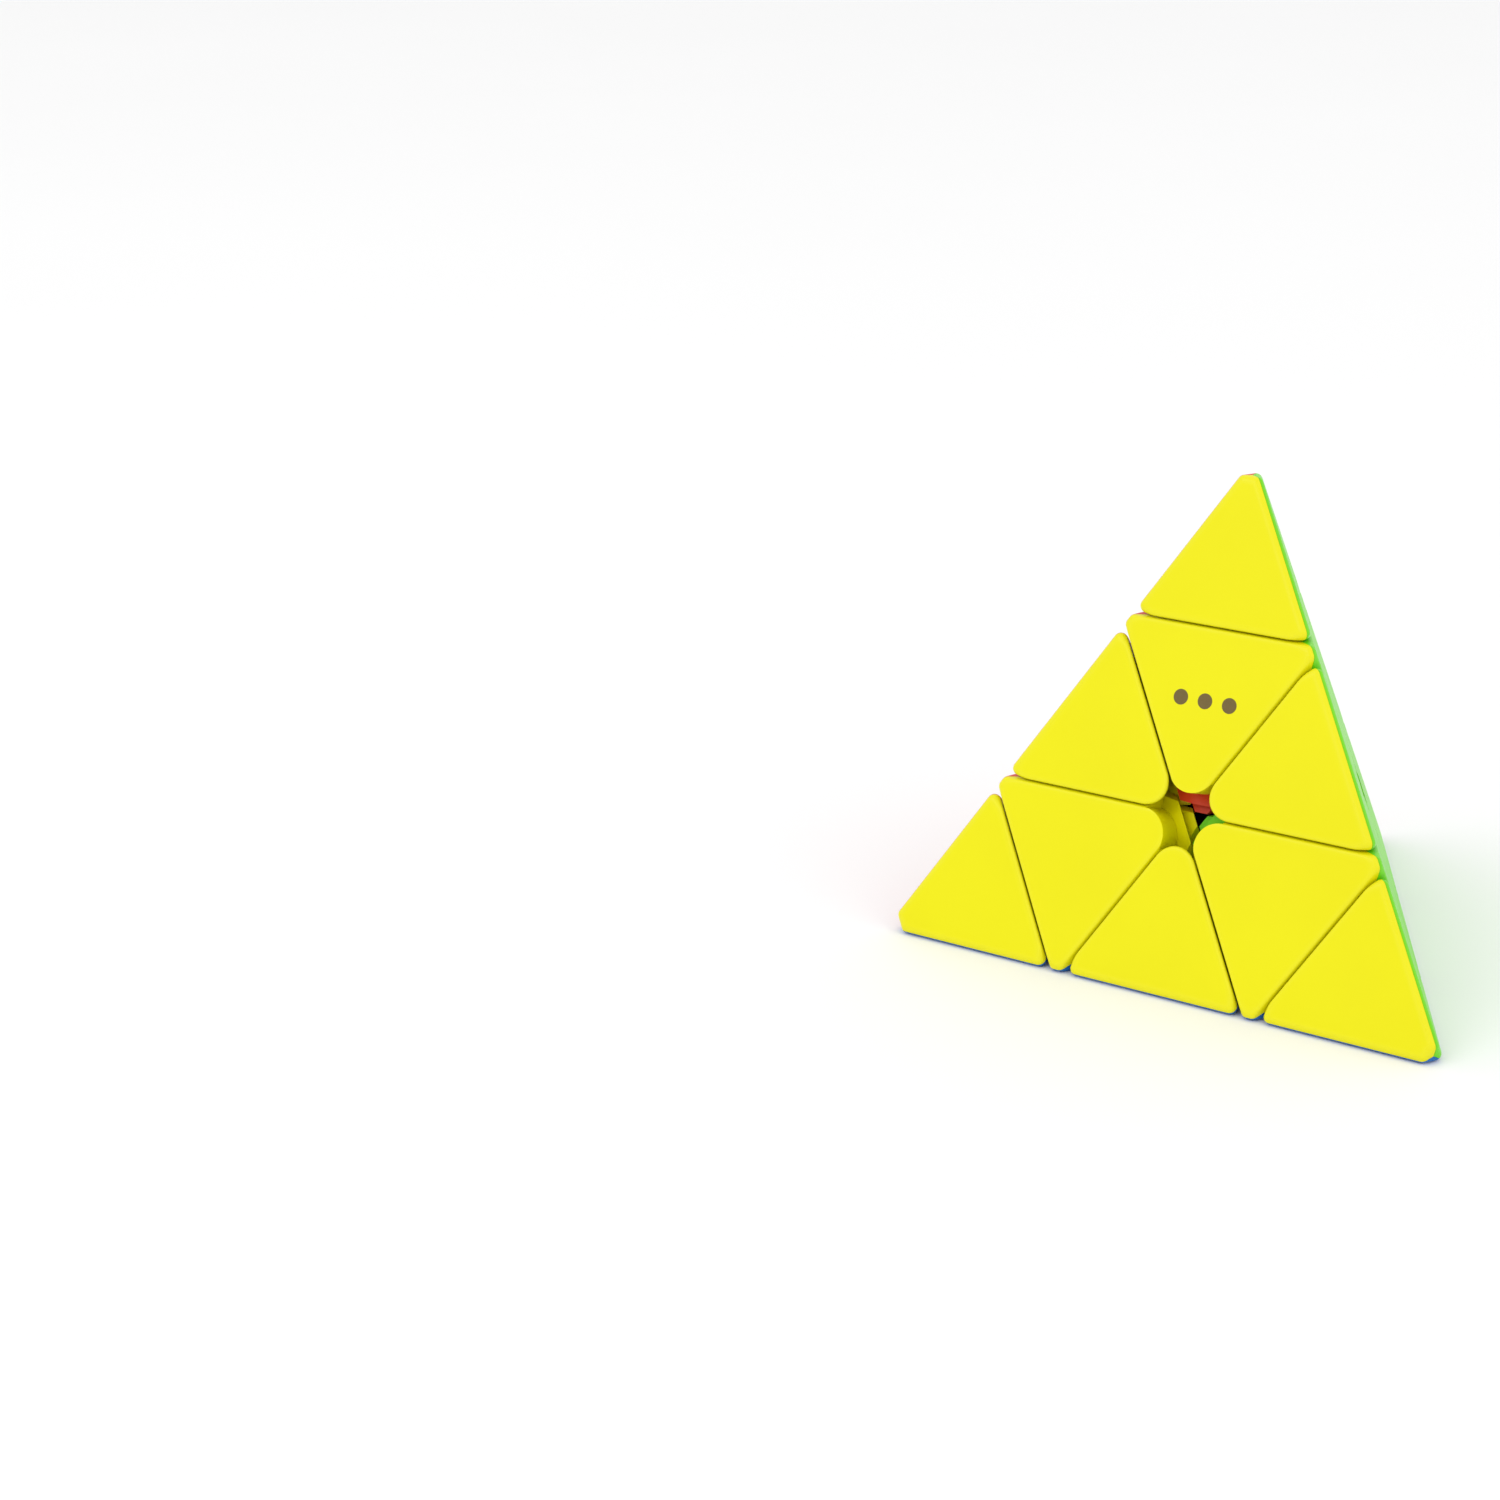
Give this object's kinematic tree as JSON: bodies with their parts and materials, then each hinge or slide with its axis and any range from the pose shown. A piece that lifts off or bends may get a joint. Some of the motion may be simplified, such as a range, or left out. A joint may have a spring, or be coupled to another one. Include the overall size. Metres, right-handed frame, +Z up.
{
  "type": "pyramid twisty puzzle",
  "caption": "Four-sided pyramid twisting puzzle in solid-coloured plastic, with turning layers and tips on a sprung core.",
  "frame": {"origin": "middle of the core, where all the turning axes cross; the puzzle balances there", "axes": "+Z up through the top corner; the yellow face looks towards -Y, tilted up; the blue face is flat underneath"},
  "size_m": [0.1, 0.0873, 0.0816],
  "materials": {
    "yellow_plastic": "satin, moulded in colour",
    "green_plastic": "satin, moulded in colour",
    "red_plastic": "satin, moulded in colour",
    "blue_plastic": "satin, moulded in colour",
    "core_plastic": "fine matt texture",
    "steel": "zinc plated",
    "magnet": "nickel plated"
  },
  "bodies": {
    "core": {"core": "core_plastic", "axis_screws": "steel", "axis_springs": "steel", "axis_washers": "steel"},
    "top_centre": {"top_centre_hub": "red_plastic", "top_centre_yellow_cap": "yellow_plastic", "top_centre_green_cap": "green_plastic", "top_centre_red_cap": "red_plastic", "top_centre_magnets": "magnet"},
    "left_centre": {"left_centre_hub": "yellow_plastic", "left_centre_yellow_cap": "yellow_plastic", "left_centre_red_cap": "red_plastic", "left_centre_blue_cap": "blue_plastic", "left_centre_magnets": "magnet"},
    "right_centre": {"right_centre_hub": "green_plastic", "right_centre_yellow_cap": "yellow_plastic", "right_centre_green_cap": "green_plastic", "right_centre_blue_cap": "blue_plastic", "right_centre_magnets": "magnet"},
    "back_centre": {"back_centre_hub": "blue_plastic", "back_centre_green_cap": "green_plastic", "back_centre_red_cap": "red_plastic", "back_centre_blue_cap": "blue_plastic", "back_centre_magnets": "magnet"},
    "top_tip": {"top_tip_stalk": "red_plastic", "top_tip_yellow_shell": "yellow_plastic", "top_tip_green_shell": "green_plastic", "top_tip_red_shell": "red_plastic"},
    "left_tip": {"left_tip_stalk": "yellow_plastic", "left_tip_yellow_shell": "yellow_plastic", "left_tip_red_shell": "red_plastic", "left_tip_blue_shell": "blue_plastic"},
    "right_tip": {"right_tip_stalk": "green_plastic", "right_tip_yellow_shell": "yellow_plastic", "right_tip_green_shell": "green_plastic", "right_tip_blue_shell": "blue_plastic"},
    "back_tip": {"back_tip_stalk": "blue_plastic", "back_tip_green_shell": "green_plastic", "back_tip_red_shell": "red_plastic", "back_tip_blue_shell": "blue_plastic"},
    "top_left_edge": {"top_left_edge_yellow_half": "yellow_plastic", "top_left_edge_red_half": "red_plastic", "top_left_edge_magnets": "magnet"},
    "top_right_edge": {"top_right_edge_yellow_half": "yellow_plastic", "top_right_edge_green_half": "green_plastic", "top_right_edge_magnets": "magnet"},
    "top_back_edge": {"top_back_edge_green_half": "green_plastic", "top_back_edge_red_half": "red_plastic", "top_back_edge_magnets": "magnet"},
    "left_right_edge": {"left_right_edge_yellow_half": "yellow_plastic", "left_right_edge_blue_half": "blue_plastic", "left_right_edge_magnets": "magnet"},
    "right_back_edge": {"right_back_edge_green_half": "green_plastic", "right_back_edge_blue_half": "blue_plastic", "right_back_edge_magnets": "magnet"},
    "left_back_edge": {"left_back_edge_red_half": "red_plastic", "left_back_edge_blue_half": "blue_plastic", "left_back_edge_magnets": "magnet"}
  },
  "joints": [
    {"name": "top_layer_turn", "type": "hinge", "parent": "core", "child": "top_centre", "pos_m": [0, 0, 0], "axis": [0, 0, 1], "continuous": true},
    {"name": "left_layer_turn", "type": "hinge", "parent": "core", "child": "left_centre", "pos_m": [0, 0, 0], "axis": [-0.8165, -0.4714, -0.3333], "range_deg": [-360, 360]},
    {"name": "right_layer_turn", "type": "hinge", "parent": "core", "child": "right_centre", "pos_m": [0, 0, 0], "axis": [0.8165, -0.4714, -0.3333], "range_deg": [-360, 360]},
    {"name": "back_layer_turn", "type": "hinge", "parent": "core", "child": "back_centre", "pos_m": [0, 0, 0], "axis": [0, 0.9428, -0.3333], "range_deg": [-360, 360]},
    {"name": "top_tip_turn", "type": "hinge", "parent": "top_centre", "child": "top_tip", "pos_m": [0, 0, 0], "axis": [0, 0, 1], "continuous": true},
    {"name": "left_tip_turn", "type": "hinge", "parent": "left_centre", "child": "left_tip", "pos_m": [0, 0, 0], "axis": [-0.8165, -0.4714, -0.3333], "continuous": true},
    {"name": "right_tip_turn", "type": "hinge", "parent": "right_centre", "child": "right_tip", "pos_m": [0, 0, 0], "axis": [0.8165, -0.4714, -0.3333], "continuous": true},
    {"name": "back_tip_turn", "type": "hinge", "parent": "back_centre", "child": "back_tip", "pos_m": [0, 0, 0], "axis": [0, 0.9428, -0.3333], "continuous": true},
    {"name": "top_left_edge_turn", "type": "hinge", "parent": "top_centre", "child": "top_left_edge", "pos_m": [0, 0, 0], "axis": [-0.8165, -0.4714, -0.3333], "range_deg": [-360, 360]},
    {"name": "top_right_edge_turn", "type": "hinge", "parent": "top_centre", "child": "top_right_edge", "pos_m": [0, 0, 0], "axis": [0.8165, -0.4714, -0.3333], "range_deg": [-360, 360]},
    {"name": "top_back_edge_turn", "type": "hinge", "parent": "top_centre", "child": "top_back_edge", "pos_m": [0, 0, 0], "axis": [0, 0.9428, -0.3333], "range_deg": [-360, 360]},
    {"name": "left_right_edge_turn", "type": "hinge", "parent": "left_centre", "child": "left_right_edge", "pos_m": [0, 0, 0], "axis": [0.8165, -0.4714, -0.3333], "range_deg": [-360, 360]},
    {"name": "right_back_edge_turn", "type": "hinge", "parent": "right_centre", "child": "right_back_edge", "pos_m": [0, 0, 0], "axis": [0, 0.9428, -0.3333], "range_deg": [-360, 360]},
    {"name": "left_back_edge_turn", "type": "hinge", "parent": "back_centre", "child": "left_back_edge", "pos_m": [0, 0, 0], "axis": [-0.8165, -0.4714, -0.3333], "range_deg": [-360, 360]}
  ],
  "couplings": [
    {"joint": "top_left_edge_turn", "follows": "left_layer_turn", "ratio": 1},
    {"joint": "top_right_edge_turn", "follows": "right_layer_turn", "ratio": 1},
    {"joint": "top_back_edge_turn", "follows": "back_layer_turn", "ratio": 1},
    {"joint": "left_right_edge_turn", "follows": "right_layer_turn", "ratio": 1},
    {"joint": "right_back_edge_turn", "follows": "back_layer_turn", "ratio": 1},
    {"joint": "left_back_edge_turn", "follows": "left_layer_turn", "ratio": 1}
  ]
}
